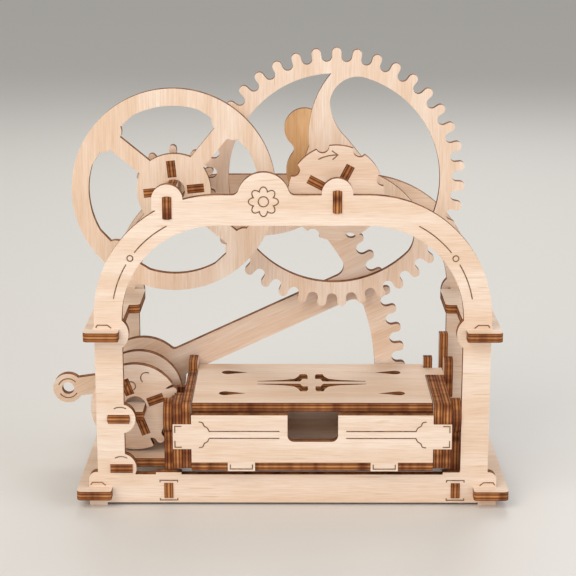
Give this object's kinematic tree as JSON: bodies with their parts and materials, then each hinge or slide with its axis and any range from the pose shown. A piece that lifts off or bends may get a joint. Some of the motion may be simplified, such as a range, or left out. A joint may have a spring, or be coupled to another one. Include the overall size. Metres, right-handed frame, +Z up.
{
  "type": "geared card box",
  "caption": "Plywood desk card box: a crank gear moves a toothed sector lever, spins a flywheel and tips a lidded box between arched frames.",
  "frame": {"origin": "on the table, under the middle of the whole object's bounding box", "axes": "+X to the right as seen from the side with the crest, +Y to the back, +Z up"},
  "size_m": [0.1834, 0.085, 0.1724],
  "materials": {
    "plywood": "bare sanded birch plywood with laser-darkened edges",
    "plywood_warm": "bare sanded birch plywood of a warmer sheet",
    "dowel": "bare round birch dowel"
  },
  "bodies": {
    "stand": {"front_frame": "plywood", "rear_frame": "plywood", "lower_shelf": "plywood", "lever_axle_bar": "plywood", "flywheel_axle_bar": "plywood", "gear_axle_bar": "plywood", "box_bracket_left": "plywood", "box_bracket_right": "plywood", "upper_platform_left": "plywood", "base_plate_left": "plywood", "upper_platform_right": "plywood", "base_plate_right": "plywood"},
    "crank_shaft": {"gear_hub_disc": "plywood", "big_gear": "plywood", "sector_pinion": "plywood", "crank_handle": "plywood_warm", "gear_hub_rib_1": "plywood", "gear_hub_rib_2": "plywood", "gear_hub_rib_3": "plywood", "gear_hub_rib_4": "plywood"},
    "lever": {"sector_lever": "plywood", "lever_hub_gear": "plywood", "lever_hub_disc": "plywood", "lever_hub_rib_1": "plywood", "lever_hub_rib_2": "plywood", "lever_hub_rib_3": "plywood", "lever_hub_rib_4": "plywood"},
    "flywheel": {"flywheel": "plywood", "flywheel_pinion": "plywood", "flywheel_hub_rib_1": "plywood", "flywheel_hub_rib_2": "plywood", "flywheel_hub_rib_3": "plywood", "flywheel_hub_rib_4": "plywood"},
    "box": {"box_bottom": "plywood", "box_front_panel": "plywood", "box_back_panel": "plywood", "box_side_left": "plywood", "box_side_right": "plywood", "tilt_gear_plate": "plywood", "box_outer_side_right": "plywood", "pivot_pin_left": "dowel", "pivot_pin_right": "dowel"},
    "lid": {"lid_panel": "plywood", "lid_lever": "plywood"}
  },
  "joints": [
    {"name": "gear_spin", "type": "hinge", "parent": "stand", "child": "crank_shaft", "pos_m": [0.02492, 0, 0.11982], "axis": [0, 1, 0], "range_deg": [0, 328]},
    {"name": "lever_swing", "type": "hinge", "parent": "stand", "child": "lever", "pos_m": [-0.05371, 0, 0.035], "axis": [0, -1, 0], "range_deg": [0, 32.01]},
    {"name": "flywheel_spin", "type": "hinge", "parent": "stand", "child": "flywheel", "pos_m": [-0.03874, 0, 0.11748], "axis": [0, -1, 0], "range_deg": [0, 1279.21]},
    {"name": "box_tilt", "type": "hinge", "parent": "stand", "child": "box", "pos_m": [0.01579, -0.0315, 0.035], "axis": [1, 0, 0], "range_deg": [0, 49.79]},
    {"name": "lid_open", "type": "hinge", "parent": "box", "child": "lid", "pos_m": [0.01579, 0.0103, 0.03965], "axis": [-1, 0, 0], "range_deg": [0, 49.79]}
  ],
  "couplings": [
    {"joint": "lever_swing", "follows": "gear_spin", "ratio": 0.097561},
    {"joint": "flywheel_spin", "follows": "gear_spin", "ratio": 3.9},
    {"joint": "box_tilt", "follows": "gear_spin", "ratio": 0.15176},
    {"joint": "lid_open", "follows": "gear_spin", "ratio": 0.15176}
  ]
}
